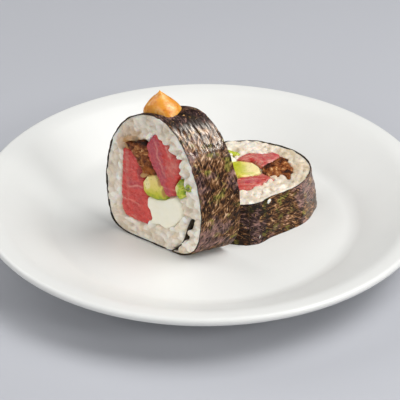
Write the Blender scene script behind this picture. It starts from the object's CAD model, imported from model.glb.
"""Two slices of a thick maki roll on a white porcelain plate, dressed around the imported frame.

One slice stands on its side with a dollop of sauce on top, the other lies on a cut face.
Lengths inside the classes are millimetres; a mesh is turned into metres as it is made.
A body is a pair of its corners and its faces.
"""

import enum
import itertools
import logging
import math
from dataclasses import dataclass, field
from typing import Callable

import bpy
import numpy as np
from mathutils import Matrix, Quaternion, Vector
from mathutils.bvhtree import BVHTree
from mathutils.kdtree import KDTree


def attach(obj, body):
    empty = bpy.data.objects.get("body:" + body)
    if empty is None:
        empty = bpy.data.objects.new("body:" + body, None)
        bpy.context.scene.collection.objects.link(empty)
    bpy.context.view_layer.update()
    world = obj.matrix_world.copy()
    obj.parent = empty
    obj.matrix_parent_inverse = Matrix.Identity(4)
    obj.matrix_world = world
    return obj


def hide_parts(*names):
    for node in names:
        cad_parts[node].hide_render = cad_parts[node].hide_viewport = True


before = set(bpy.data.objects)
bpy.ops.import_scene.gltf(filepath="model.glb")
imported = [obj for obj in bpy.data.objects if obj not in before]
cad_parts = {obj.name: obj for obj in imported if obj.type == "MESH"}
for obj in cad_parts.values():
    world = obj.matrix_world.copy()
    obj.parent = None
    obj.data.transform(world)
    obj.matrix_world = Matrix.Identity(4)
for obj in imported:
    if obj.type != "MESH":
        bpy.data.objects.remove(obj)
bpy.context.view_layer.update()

MM = 0.001
SETTLE = 0.28  # the frame's clearance under each slice, taken out so that it rests on the plate
FAR = 999.0  # further away than anything here
ASIDE = Vector((0.83, 0.55, 0.07))  # a way that runs along no flat side of a body
LOG = logging.getLogger("maki")

Pair = tuple[float, float]
Triple = tuple[float, float, float]
Colour = Triple
Stops = tuple[tuple[float, Colour], ...]
Array = np.ndarray
Body = tuple[Array, Array]
Mesh = bpy.types.Mesh
Object = bpy.types.Object
Material = bpy.types.Material
NodeTree = bpy.types.NodeTree
Socket = bpy.types.NodeSocket
Parts = bpy.types.bpy_prop_collection
Fill = Callable[["Graph", Parts], dict[str, Socket]]


# ---- noise and small numbers

HASH_AXES = (374761393, 668265263, 1442695041)
HASH_SEED, HASH_START = 144665, 1013904223
HASH_ROUNDS = ((13, 1274126177), (15, 974634777))
HASH_LAST_SHIFT = 16
WORD = 0xFFFFFFFF
FRACTION = 0xFFFFFF


def lattice(cells: Array, seed: int) -> Array:
    """Repeatable numbers from 0 to 1, one for each cell of a grid.

    Args:
        cells: whole-number cell places, one row of three for each.
        seed: picks one of many such fields.

    Returns:
        One number for each row.
    """
    word = np.int64(WORD)
    start = np.int64(seed * HASH_SEED + HASH_START)
    mixed = ((cells * np.array(HASH_AXES, dtype=np.int64)).sum(axis=1) + start) & word
    for shift, factor in HASH_ROUNDS:
        mixed = ((mixed ^ (mixed >> shift)) * np.int64(factor)) & word
    return ((mixed ^ (mixed >> HASH_LAST_SHIFT)) & np.int64(FRACTION)) / float(FRACTION + 1)


def smooth_noise(points: Array, seed: int) -> Array:
    """Smooth noise with features about one unit across.

    Args:
        points: places, one row of three for each, already divided by the wanted feature size.
        seed: picks one of many such fields.

    Returns:
        One number from -1 to 1 for each row.
    """
    cells = np.floor(points).astype(np.int64)
    share = points - cells
    share = share**3 * (share * (share * 6 - 15) + 10)
    total = np.zeros(len(points))
    for corner in itertools.product((0, 1), repeat=3):
        step = np.array(corner)
        weight = np.prod(np.where(step == 1, share, 1 - share), axis=1)
        total += weight * lattice(cells + step, seed)
    return total * 2 - 1


@dataclass(frozen=True)
class Relief:
    """Layered noise: how large its features are and how high they stand, in millimetres."""

    sizes: Triple | float
    height: float
    layers: int = 2  # each is half as large and half as strong as the last
    shift: int = 0  # added to the seed, so that two reliefs on one piece differ

    def at(self, points: Array, seed: int) -> Array:
        """The height at each point.

        Args:
            points: places in millimetres, one row of three for each.
            seed: the piece's own number.

        Returns:
            One height for each point, below nought as often as above.
        """
        scaled = points / np.asarray(self.sizes, dtype=float)
        total = np.zeros(len(points))
        for layer in range(self.layers):
            total += smooth_noise(scaled * 2**layer, seed + self.shift + layer) / 2**layer
        return total / (2 - 2.0 ** (1 - self.layers)) * self.height


def soft_step(values: Array, low: float, high: float) -> Array:
    """Rises smoothly from 0 at low to 1 at high, or falls where high is the lower."""
    share = np.clip((values - low) / (high - low), 0, 1)
    return share * share * (3 - 2 * share)


def catmull_rom(points: Array, per_span: int) -> Array:
    """A smooth open line through points.

    Args:
        points: the line's corners, one row each.
        per_span: samples between two corners.

    Returns:
        The samples, both ends included.
    """
    padded = np.vstack([2 * points[0] - points[1], points, 2 * points[-1] - points[-2]])
    share = np.linspace(0, 1, per_span, endpoint=False)[:, None]
    spans = []
    for a, b, c, d in zip(padded, padded[1:], padded[2:], padded[3:]):
        bend = 2 * a - 5 * b + 4 * c - d
        rest = 3 * b - a - 3 * c + d
        spans.append(0.5 * (2 * b + (c - a) * share + bend * share**2 + rest * share**3))
    return np.vstack([*spans, points[-1:]])


def square_to(along: Array) -> Array:
    """Unit vectors in the section, square to the given ones and to their right."""
    along = along / np.linalg.norm(along, axis=1, keepdims=True)
    return np.stack([along[:, 1], -along[:, 0]], axis=1)


# ---- meshes


def add_object(name: str, mesh: Mesh) -> Object:
    """Names a mesh, shades it smooth and puts it into the scene.

    Args:
        name: the object's and the mesh's name.
        mesh: the finished mesh.

    Returns:
        The linked object.
    """
    mesh.name = name
    mesh.shade_smooth()
    made = bpy.data.objects.new(name, mesh)
    bpy.context.scene.collection.objects.link(made)
    return made


def make_object(name: str, points: Array, faces: Array | list) -> Object:
    """A smooth-shaded mesh object.

    Args:
        name: the object's name.
        points: corners in metres.
        faces: rows of corner numbers.

    Returns:
        The linked object.
    """
    mesh = bpy.data.meshes.new(name)
    rows = faces.tolist() if isinstance(faces, np.ndarray) else faces
    mesh.from_pydata(points.tolist(), [], rows)
    return add_object(name, mesh)


def rows_of(parts: Parts, label: str, width: int, kind: type) -> Array:
    """Reads one property of all the corners, edges or faces of a mesh.

    Args:
        parts: the corners, edges or faces.
        label: the property's name.
        width: how many numbers each of them has.
        kind: the numbers' type.

    Returns:
        One row for each of them.
    """
    flat = np.empty(len(parts) * width, dtype=kind)
    parts.foreach_get(label, flat)
    return flat.reshape(-1, width)


def corners_of(mesh: Mesh) -> Array:
    """A mesh's corners, one row of three for each."""
    return rows_of(mesh.vertices, "co", 3, np.float32).astype(float)


def triangles_of(mesh: Mesh) -> Array:
    """A mesh's triangles as rows of corner numbers."""
    mesh.calc_loop_triangles()
    return rows_of(mesh.loop_triangles, "vertices", 3, np.int32)


def normals_of(mesh: Mesh) -> Array:
    """A mesh's normals at its corners."""
    return rows_of(mesh.vertex_normals, "vector", 3, np.float32).astype(float)


def set_corners(mesh: Mesh, points: Array) -> None:
    """Moves a mesh's corners to new places."""
    mesh.vertices.foreach_set("co", points.astype(np.float32).ravel())
    mesh.update()


def set_fields(mesh: Mesh, fields: dict[str, Array]) -> None:
    """Stores numbers or vectors at a mesh's corners, for the materials to read.

    Args:
        mesh: the finished mesh.
        fields: by name, one number or one row of three for each corner.
    """
    for name, values in fields.items():
        vector = values.ndim == 2
        layer = mesh.attributes.new(name, "FLOAT_VECTOR" if vector else "FLOAT", "POINT")
        layer.data.foreach_set("vector" if vector else "value", values.astype(np.float32).ravel())


def relaxed(mesh: Mesh, rounds: int, strength: float = 0.5) -> Array:
    """Moves each corner of a mesh towards its neighbours, to even them out.

    Args:
        mesh: the mesh, which keeps its own corners.
        rounds: how many times.
        strength: how much of the way each time.

    Returns:
        The moved corners.
    """
    points, edges = corners_of(mesh), rows_of(mesh.edges, "vertices", 2, np.int32)
    count = len(points)
    near = np.bincount(edges.ravel(), minlength=count)[:, None]
    ends = np.concatenate([edges[:, 0], edges[:, 1]])
    others = np.concatenate([edges[:, 1], edges[:, 0]])
    for _ in range(rounds):
        sums = np.stack([np.bincount(ends, points[others, k], count) for k in range(3)], axis=1)
        points = points + strength * (sums / np.maximum(near, 1) - points)
    return points


def joined(bodies: list[Body]) -> Body:
    """Puts several bodies of triangles together.

    Args:
        bodies: the bodies, as they are placed.

    Returns:
        One body of all their corners and triangles.
    """
    starts = np.cumsum([0, *[len(points) for points, _ in bodies[:-1]]])
    faces = [triangles + start for (_, triangles), start in zip(bodies, starts)]
    return np.vstack([points for points, _ in bodies]), np.vstack(faces)


def voxel_skin(bodies: list[Body], cell: float, rounds: int) -> tuple[Mesh, Array]:
    """Fuses overlapping closed bodies into one even skin.

    Args:
        bodies: the bodies, in millimetres.
        cell: the skin's cell size, in millimetres.
        rounds: how often the skin is evened out.

    Returns:
        The new mesh and its evened corners, which aren't set in it yet.
    """
    rough = make_object("rough", *joined(bodies))
    remesh = rough.modifiers.new("skin", "REMESH")
    remesh.mode = "VOXEL"
    remesh.voxel_size = cell
    remesh.adaptivity = 0
    ready = rough.evaluated_get(bpy.context.evaluated_depsgraph_get())
    skin = bpy.data.meshes.new_from_object(ready)
    source = rough.data
    bpy.data.objects.remove(rough)
    bpy.data.meshes.remove(source)
    return skin, relaxed(skin, rounds)


def ring_faces(columns: int, rows: int, closed_rows: bool = False) -> Array:
    """Four-sided faces of a grid whose columns close on themselves.

    Args:
        columns: corners round the ring.
        rows: rings of corners.
        closed_rows: True if the last ring joins the first.

    Returns:
        Rows of four corner numbers.
    """
    last = rows if closed_rows else rows - 1
    row, column = np.meshgrid(np.arange(last), np.arange(columns), indexing="ij")
    row, column = row.ravel(), column.ravel()
    below, beside = (row + 1) % rows, (column + 1) % columns
    corners = [row * columns + column, row * columns + beside]
    corners += [below * columns + beside, below * columns + column]
    return np.stack(corners, axis=1)


def halved(quads: Array) -> Array:
    """The triangles of four-sided faces."""
    return np.vstack([quads[:, [0, 1, 2]], quads[:, [0, 2, 3]]])


def lathe(profile: Array, segments: int) -> Body:
    """Turns an outline about the z axis.

    Args:
        profile: rows of (radius, height), from axis to axis.
        segments: steps round the axis.

    Returns:
        Corners and four-sided faces.
    """
    angle = np.linspace(0, 2 * math.pi, segments, endpoint=False)
    rings = [
        np.stack([r * np.cos(angle), r * np.sin(angle), np.full(segments, z)], axis=1)
        for r, z in profile
    ]
    return np.vstack(rings), ring_faces(segments, len(profile))


def pebble(columns: int, rows: int, bluntness: float = 0.82) -> Body:
    """A rounded body one unit long and wide, a little blunter than a ball.

    Args:
        columns: corners round its long axis.
        rows: steps along its long axis.
        bluntness: 1 for a ball, less for blunter ends.

    Returns:
        Corners and triangles.
    """
    rise = np.linspace(0, math.pi, rows + 1)[1:-1]
    along = [-math.cos(angle) for angle in rise]
    rings, quads = lathe(np.stack([np.sin(rise) ** bluntness, along], axis=1), columns)
    shape = np.vstack([np.roll(rings, 1, axis=1), [[-1, 0, 0]], [[1, 0, 0]]]) / 2
    start, end, last = len(shape) - 2, len(shape) - 1, (rows - 2) * columns
    ring = np.arange(columns)
    after = (ring + 1) % columns
    first = np.stack([np.full(columns, start), after, ring], axis=1)
    closing = np.stack([np.full(columns, end), last + ring, last + after], axis=1)
    return shape, np.vstack([halved(quads), first, closing])


def bent_strip(line: Array, half: float, low: float, high: float) -> Body:
    """A closed strip that stands on a line.

    Args:
        line: the line's corners in the section.
        half: half the strip's thickness.
        low: the depth of its lower edge.
        high: the depth of its upper edge.

    Returns:
        Corners and triangles.
    """
    across = square_to(np.gradient(line, axis=0)) * half
    sides = ((line + across, high), (line - across, high), (line - across, low), (line + across, low))
    corners = [np.hstack([side, np.full((len(line), 1), depth)]) for side, depth in sides]
    last = 4 * (len(line) - 1)
    caps = [[0, 2, 1], [0, 3, 2], [last, last + 1, last + 2], [last, last + 2, last + 3]]
    points = np.stack(corners, axis=1).reshape(-1, 3)
    return points, np.vstack([halved(ring_faces(4, len(line))), caps])


# ---- node trees


class Graph:
    """A short way to place and link shader nodes."""

    def __init__(self, tree: NodeTree) -> None:
        """Keeps the tree that the nodes go into."""
        self.tree = tree

    def feed(self, socket: Socket, value: object) -> None:
        """Links an output to an input, or gives the input a value of its own.

        Args:
            socket: the input.
            value: another node's output, a number, a vector or a colour of three numbers.
        """
        if isinstance(value, Socket):
            self.tree.links.new(value, socket)
        elif socket.type == "RGBA":
            socket.default_value = (*value, 1)
        else:
            socket.default_value = value

    def add(self, kind: str, inputs: dict | None = None, **settings: object) -> bpy.types.Node:
        """Places one node.

        Args:
            kind: the node's type, without ShaderNode.
            inputs: what each named or numbered input gets, a value or another node's output.
            settings: the node's own settings.

        Returns:
            The node.
        """
        node = self.tree.nodes.new("ShaderNode" + kind)
        for key, value in settings.items():
            setattr(node, key, value)
        for key, value in (inputs or {}).items():
            self.feed(node.inputs[key], value)
        return node

    def maths(self, operation: str, *values: object) -> Socket:
        """The result of one sum on numbers or outputs."""
        return self.add("Math", dict(enumerate(values)), operation=operation).outputs[0]

    def blend(self, share: object, low: object, high: object) -> Socket:
        """A colour between two colours."""
        inputs = {"Factor": share, 6: low, 7: high}
        return self.add("Mix", inputs, data_type="RGBA").outputs[2]

    def span(
        self, value: object, low: float, high: float, start: float = 0, end: float = 1
    ) -> Socket:
        """A number moved from the range low to high into start to end, and held inside it."""
        inputs = {"Value": value, 1: low, 2: high, 3: start, 4: end}
        return self.add("MapRange", inputs, clamp=True).outputs[0]

    def ramp(self, share: object, stops: Stops) -> Socket:
        """A colour that follows a row of stops.

        Args:
            share: the number that runs along the stops.
            stops: each stop's place from 0 to 1, and its colour.

        Returns:
            The colour.
        """
        node = self.add("ValToRGB", {"Fac": share})
        points = node.color_ramp.elements
        while len(points) < len(stops):
            points.new(1)
        for point, (place, colour) in zip(points, stops):
            point.position, point.color = place, (*colour, 1)
        return node.outputs["Color"]

    def attribute(self, name: str, output: str = "Fac") -> Socket:
        """A number that was stored at the mesh's corners, or a vector if that is the output."""
        return self.add("Attribute", attribute_name=name).outputs[output]

    def toned(self, name: str, colour: object, other: object) -> Socket:
        """A colour that a field stored at the corners turns into another."""
        return self.blend(self.attribute(name), colour, other)

    def place(self, name: str = "section") -> Socket:
        """A place that was stored at the mesh's corners."""
        return self.attribute(name, "Vector")

    def stretched(self, vector: object, factors: Triple) -> Socket:
        """A place scaled by its own factor along each axis."""
        inputs = {0: vector, 1: factors}
        return self.add("VectorMath", inputs, operation="MULTIPLY").outputs[0]

    def noise(
        self, vector: object, scale: float, detail: float = 4, roughness: float = 0.55,
        distortion: float = 0,
    ) -> Socket:
        """A noise pattern's strength at a place, about 0.5 on the whole."""
        inputs = {"Vector": vector, "Scale": scale, "Detail": detail, "Roughness": roughness}
        return self.add("TexNoise", {**inputs, "Distortion": distortion}).outputs[0]


def shader_group(name: str, inputs: dict, outputs: dict, fill: Fill) -> NodeTree:
    """A shader node group, made at its first use.

    Args:
        name: the group's name.
        inputs: each input's name, with its socket type and first value.
        outputs: each output's name, with its socket type.
        fill: places the nodes, given the graph and the inputs, and returns the outputs by name.

    Returns:
        The group's tree.
    """
    if name in bpy.data.node_groups:
        return bpy.data.node_groups[name]
    tree = bpy.data.node_groups.new(name, "ShaderNodeTree")
    for label, (kind, value) in inputs.items():
        socket = tree.interface.new_socket(label, in_out="INPUT", socket_type="NodeSocket" + kind)
        if value is not None:
            socket.default_value = value
    for label, kind in outputs.items():
        tree.interface.new_socket(label, in_out="OUTPUT", socket_type="NodeSocket" + kind)
    start, end = tree.nodes.new("NodeGroupInput"), tree.nodes.new("NodeGroupOutput")
    for label, socket in fill(Graph(tree), start.outputs).items():
        tree.links.new(socket, end.inputs[label])
    return tree


FINER, FINE_SHARE = 7.0, 0.35  # the mottle's grain: how much finer and how strong it is
PATCH_BAND = (0.5, 0.85)
FILM_BAND = (0.38, 0.62)
GRAIN_FINER = 6.0  # how much finer the damp's grain is than its film


def mottle_group() -> NodeTree:
    """The group that breaks one colour up with soft patches of another.

    Returns:
        The group's tree.
    """

    def fill(graph: Graph, given: Parts) -> dict[str, Socket]:
        """Places the nodes that make the patches.

        Args:
            graph: the group's graph.
            given: the group's inputs.

        Returns:
            The group's outputs by name.
        """
        broad = graph.add("TexNoise", {0: given["Place"], "Scale": given["Scale"], "Detail": 3})
        fine_scale = graph.maths("MULTIPLY", given["Scale"], FINER)
        fine = graph.add("TexNoise", {0: given["Place"], "Scale": fine_scale, "Detail": 2})
        mixed = graph.maths("MULTIPLY_ADD", fine.outputs[0], FINE_SHARE, broad.outputs[0])
        mask = graph.span(mixed, *PATCH_BAND)
        share = graph.maths("MULTIPLY", mask, given["Amount"])
        return {"Color": graph.blend(share, given["Base"], given["Patch"])}

    inputs = {"Place": ("Vector", None), "Scale": ("Float", 1.0), "Amount": ("Float", 1.0)}
    inputs |= {"Base": ("Color", None), "Patch": ("Color", None)}
    return shader_group("mottle", inputs, {"Color": "Color"}, fill)


def damp_group() -> NodeTree:
    """The group that gives damp food its uneven gloss and its fine relief.

    Returns:
        The group's tree.
    """

    def fill(graph: Graph, given: Parts) -> dict[str, Socket]:
        """Places the nodes that make the gloss and the relief.

        Args:
            graph: the group's graph.
            given: the group's inputs.

        Returns:
            The group's outputs by name.
        """
        place, scale = given["Place"], given["Scale"]
        film = graph.add("TexNoise", {0: place, "Scale": scale, "Detail": 3})
        wet = graph.span(film.outputs[0], *FILM_BAND)
        rise = graph.maths("SUBTRACT", given["Dry"], given["Wet"])
        dry = graph.maths("SUBTRACT", 1.0, wet)
        rough = graph.maths("MULTIPLY_ADD", rise, dry, given["Wet"])
        grain_scale = graph.maths("MULTIPLY", scale, GRAIN_FINER)
        grain = graph.add("TexNoise", {0: place, "Scale": grain_scale, "Detail": 4})
        return {"Roughness": rough, "Height": grain.outputs[0]}

    inputs = {"Place": ("Vector", None), "Scale": ("Float", 1.0)}
    inputs |= {"Wet": ("Float", 0.2), "Dry": ("Float", 0.5)}
    return shader_group("damp", inputs, {"Roughness": "Float", "Height": "Float"}, fill)


@dataclass
class Surface:
    """A material with its Principled shader, ready for a finish to fill in."""

    name: str
    graph: Graph = field(init=False)
    shader: bpy.types.Node = field(init=False)
    material: Material = field(init=False)

    def __post_init__(self) -> None:
        """Makes the material and leaves only its shader and output in it."""
        self.material = bpy.data.materials.new(self.name)
        self.material.use_nodes = True
        tree = self.material.node_tree
        tree.nodes.clear()
        self.graph = Graph(tree)
        self.shader = self.graph.add("BsdfPrincipled")
        self.graph.add("OutputMaterial", {"Surface": self.shader.outputs[0]})

    def set(self, **values: object) -> None:
        """Sets or links the shader's inputs, named with _ for a space."""
        for key, value in values.items():
            self.graph.feed(self.shader.inputs[key.replace("_", " ")], value)

    def relief(self, height: Socket, depth: float, strength: object = 1) -> None:
        """Bumps the surface by a height, as deep as so many millimetres."""
        inputs = {"Height": height, "Distance": depth * MM, "Strength": strength}
        self.set(Normal=self.graph.add("Bump", inputs).outputs[0])

    def glow(self, weight: float, radius: Triple, depth: float) -> None:
        """Lets light in, red, green and blue by their shares of a depth in millimetres."""
        self.set(Subsurface_Weight=weight, Subsurface_Radius=radius, Subsurface_Scale=depth * MM)

    def mottled(
        self, place: Socket, scale: float, amount: float, base: object, patch: object
    ) -> Socket:
        """The base colour with patches of another in it, so many to a unit and so strong."""
        inputs = {"Place": place, "Scale": scale, "Amount": amount, "Base": base, "Patch": patch}
        return self.graph.add("Group", inputs, node_tree=mottle_group()).outputs["Color"]

    def damp(self, place: Socket, scale: float, wet: float, dry: float) -> Socket:
        """Gives the shader the shared group's uneven gloss.

        Args:
            place: where the film's patches are looked up.
            scale: how many fit one unit.
            wet: the roughness where the film is whole.
            dry: the roughness where it is gone.

        Returns:
            The height of the relief that belongs to it.
        """
        inputs = {"Place": place, "Scale": scale, "Wet": wet, "Dry": dry}
        film = self.graph.add("Group", inputs, node_tree=damp_group())
        self.set(Roughness=film.outputs["Roughness"])
        return film.outputs["Height"]


# ---- finishes


class Finish:
    """What every finish has: the steps that fill its material in."""

    def fill(self, surface: Surface) -> None:
        """Fills the material in."""
        raise NotImplementedError

    def make(self, name: str) -> Material:
        """Builds the material.

        Args:
            name: the material's name.

        Returns:
            The material.
        """
        surface = Surface(name)
        self.fill(surface)
        return surface.material


@dataclass(frozen=True)
class PorcelainFinish(Finish):
    """White glazed porcelain with a faint orange peel."""

    glaze: Colour = (0.785, 0.785, 0.758)
    shade: Colour = (0.75, 0.75, 0.722)

    def fill(self, surface: Surface) -> None:
        """Fills the material in.

        Args:
            surface: the plain material.
        """
        graph = surface.graph
        place = graph.add("TexCoord").outputs["Object"]
        gloss = graph.span(graph.noise(place, 30.0, 3), 0.3, 0.7, 0.34, 0.42)
        surface.set(Base_Color=surface.mottled(place, 14.0, 0.5, self.glaze, self.shade))
        surface.set(Roughness=gloss, Specular_IOR_Level=0.45)
        surface.set(Coat_Weight=0.08, Coat_Roughness=0.12)
        surface.relief(graph.noise(place, 160.0, 2), 0.02, 0.5)


@dataclass(frozen=True)
class NoriFinish(Finish):
    """Roasted seaweed: a dark felt of fine fibres with reddish, olive and purple patches."""

    tones: Stops = (
        (0.0, (0.006, 0.002, 0.001)),
        (0.30, (0.045, 0.015, 0.005)),
        (0.55, (0.15, 0.062, 0.020)),
        (0.80, (0.38, 0.20, 0.095)),
        (1.0, (0.74, 0.50, 0.32)),
    )
    olive: tuple[Colour, Colour] = ((0.020, 0.018, 0.001), (0.42, 0.38, 0.07))
    plum: tuple[Colour, Colour] = ((0.022, 0.008, 0.009), (0.44, 0.25, 0.23))
    fleck: Colour = (0.62, 0.34, 0.13)
    cut: Colour = (0.020, 0.015, 0.008)
    gleam: Colour = (1.0, 0.90, 0.80)
    fibre: Triple = (0.24, 1.35, 1.0)  # fibres are long along the sheet
    wisp: Triple = (0.10, 1.3, 1.0)
    elsewhere: Triple = (31.0, 17.0, 5.0)  # from the fibres' pattern to the patches'
    slant: float = 0.6  # between the two layers of fibres
    mottle_share: float = 0.55
    broad_share: float = 0.25
    toast_share: float = -0.16
    plum_share: float = 0.12
    tone_band: Pair = (0.80, 1.14)
    olive_band: Pair = (0.56, 0.64)
    plum_band: Pair = (0.54, 0.64)
    fleck_band: Pair = (0.68, 0.74)
    wisp_band: Pair = (0.40, 0.50)
    patch: float = 0.8  # how far olive, plum and flecks cover what is below them

    def fill(self, surface: Surface) -> None:
        """Fills the material in.

        Args:
            surface: the plain material.
        """
        graph = surface.graph
        sheet = graph.place("sheet")
        shifted = graph.add("VectorMath", {0: sheet, 1: self.elsewhere}, operation="ADD")
        elsewhere = shifted.outputs[0]
        turned = graph.add("VectorRotate", {0: sheet, "Angle": self.slant}, rotation_type="Z_AXIS")
        along, slanted = [
            graph.noise(graph.stretched(place, self.fibre), 1.0, 2, 0.5, 0.4)
            for place in (sheet, turned.outputs[0])
        ]
        felt = graph.maths("MAXIMUM", along, slanted)
        mottle = graph.noise(elsewhere, 0.3, 3, 0.6, 0.8)
        broad = graph.noise(elsewhere, 0.09, 2)
        summed = graph.maths("MULTIPLY_ADD", mottle, self.mottle_share, felt)
        summed = graph.maths("MULTIPLY_ADD", broad, self.broad_share, summed)
        toast = graph.attribute("toast")
        mixed = graph.maths("MULTIPLY_ADD", toast, self.toast_share, summed)
        mixed = graph.span(mixed, *self.tone_band)
        olive = graph.noise(sheet, 0.17, 3, 0.6)
        olive_mask = graph.span(olive, *self.olive_band, 0, self.patch)
        tone = graph.ramp(mixed, self.tones)
        tone = graph.blend(olive_mask, tone, graph.blend(mixed, *self.olive))
        spread = graph.noise(elsewhere, 0.10, 3, 0.6)
        purple = graph.maths("MULTIPLY_ADD", graph.attribute("plum"), self.plum_share, spread)
        plum_mask = graph.span(purple, *self.plum_band, 0, self.patch)
        tone = graph.blend(plum_mask, tone, graph.blend(mixed, *self.plum))
        flecks = graph.noise(elsewhere, 1.1, 1, 0.5, 1.0)
        face = graph.blend(graph.span(flecks, *self.fleck_band, 0, self.patch), tone, self.fleck)
        depth = graph.add("SeparateXYZ", {0: sheet}).outputs["Z"]
        surface.set(Base_Color=graph.blend(graph.span(depth, 0.0, -0.25), face, self.cut))
        shine = graph.attribute("shine")
        wisps = graph.noise(graph.stretched(sheet, self.wisp), 1.0, 3, 0.6, 0.3)
        streaks = graph.maths("MULTIPLY", shine, graph.span(wisps, *self.wisp_band))
        dull = graph.maths("MULTIPLY_ADD", shine, -0.2, 0.2)
        gloss = graph.maths("ADD", dull, graph.span(mottle, 0.38, 0.62, 0.2, 0.36))
        surface.set(Roughness=gloss, IOR=1.8, Specular_Tint=self.gleam)
        surface.set(Specular_IOR_Level=graph.span(streaks, 0, 1, 0.12, 1.0))
        calm = graph.span(shine, 0, 1, 0.8, 0.5)
        surface.relief(graph.maths("MULTIPLY_ADD", mottle, 0.5, along), 0.3, calm)


@dataclass(frozen=True)
class RiceFinish(Finish):
    """Sticky rice, each grain its own shade, stained brown beside the braised mushroom."""

    dark: Colour = (0.72, 0.59, 0.435)
    light: Colour = (0.99, 0.935, 0.84)
    pale: Colour = (0.96, 0.92, 0.865)
    stain: Colour = (0.50, 0.27, 0.09)
    hollow: Colour = (0.50, 0.395, 0.265)
    steamed: Colour = (0.60, 0.49, 0.33)

    def fill(self, surface: Surface) -> None:
        """Fills the material in.

        Args:
            surface: the plain material.
        """
        graph = surface.graph
        place = graph.place()
        colour = graph.toned("shade", self.dark, self.light)
        colour = graph.toned("dark", colour, self.steamed)
        colour = surface.mottled(place, 0.15, 0.5, colour, self.pale)
        colour = graph.toned("tint", colour, self.stain)
        surface.set(Base_Color=graph.toned("hollow", colour, self.hollow))
        surface.glow(0.8, (1.0, 0.75, 0.5), 1.5)
        surface.relief(surface.damp(place, 0.5, 0.25, 0.5), 0.05, 0.5)


@dataclass(frozen=True)
class TunaFinish(Finish):
    """Raw tuna: bright and veined, with pale seams between its flakes and a duller, violet bloom."""

    deep: Colour = (0.42, 0.014, 0.015)
    bright: Colour = (0.72, 0.056, 0.042)
    bloom: Colour = (0.46, 0.050, 0.082)
    vein: Colour = (0.78, 0.14, 0.11)
    seam: Colour = (0.88, 0.42, 0.34)
    milk: Colour = (0.78, 0.42, 0.33)  # a cut's pale film
    shade: Colour = (0.26, 0.010, 0.010)
    strand: Triple = (0.22, 1.0, 0.3)  # veins are long along the flesh
    vein_band: Pair = (0.48, 0.66)
    milk_band: Pair = (0.35, 0.65)

    def fill(self, surface: Surface) -> None:
        """Fills the material in.

        Args:
            surface: the plain material.
        """
        graph = surface.graph
        place = graph.place()
        colour = surface.mottled(place, 0.2, 0.7, self.bright, self.deep)
        colour = graph.toned("dark", colour, self.shade)
        colour = graph.toned("tint", colour, self.bloom)
        veins = graph.noise(graph.stretched(graph.place("flesh"), self.strand), 1.1, 4, 0.6, 0.3)
        colour = graph.blend(graph.span(veins, *self.vein_band, 0, 0.5), colour, self.vein)
        film = graph.span(graph.noise(place, 0.4, 4), *self.milk_band)
        share = graph.maths("MULTIPLY", film, graph.attribute("light"))
        colour = graph.blend(share, colour, self.milk)
        surface.set(Base_Color=graph.toned("seam", colour, self.seam))
        surface.glow(0.4, (1.0, 0.25, 0.2), 1.4)
        surface.set(Coat_Weight=0.15, Coat_Roughness=0.2)
        bumps = surface.damp(place, 0.4, 0.18, 0.4)
        surface.relief(graph.maths("ADD", bumps, veins), 0.14, 0.6)


@dataclass(frozen=True)
class AvocadoFinish(Finish):
    """Ripe avocado, butter yellow by the stone and green by the skin."""

    tones: Stops = (
        (0.0, (0.92, 0.72, 0.27)),
        (0.50, (0.84, 0.70, 0.17)),
        (0.78, (0.60, 0.58, 0.020)),
        (0.97, (0.30, 0.40, 0.006)),
    )
    cream: Colour = (0.95, 0.85, 0.52)
    green: Colour = (0.42, 0.50, 0.02)
    bruise: Colour = (0.42, 0.17, 0.03)
    speck: Colour = (0.40, 0.30, 0.06)
    speck_band: Pair = (0.61, 0.68)
    wobble: float = 0.12  # how far the tones wander

    def fill(self, surface: Surface) -> None:
        """Fills the material in.

        Args:
            surface: the plain material.
        """
        graph = surface.graph
        place = graph.place()
        wander = graph.span(graph.noise(place, 0.5, 4), 0.3, 0.7, -self.wobble, self.wobble)
        colour = graph.ramp(graph.maths("ADD", graph.attribute("skin"), wander), self.tones)
        colour = graph.toned("light", colour, self.cream)
        colour = graph.toned("dark", colour, self.green)
        colour = graph.toned("tint", colour, self.bruise)
        specks = graph.span(graph.noise(place, 1.0, 2), *self.speck_band, 0, 0.65)
        surface.set(Base_Color=graph.blend(specks, colour, self.speck))
        surface.glow(0.3, (1.0, 0.8, 0.3), 1.2)
        surface.relief(surface.damp(place, 0.5, 0.28, 0.48), 0.10, 0.5)


@dataclass(frozen=True)
class CheeseFinish(Finish):
    """Soft cream cheese."""

    cream: Colour = (0.995, 0.96, 0.80)
    warm: Colour = (0.99, 0.93, 0.73)

    def fill(self, surface: Surface) -> None:
        """Fills the material in.

        Args:
            surface: the plain material.
        """
        place = surface.graph.place()
        surface.set(Base_Color=surface.mottled(place, 0.2, 0.6, self.cream, self.warm))
        surface.glow(0.1, (1.0, 0.85, 0.6), 1.2)
        surface.relief(surface.damp(place, 0.4, 0.3, 0.5), 0.10, 0.4)


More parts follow.
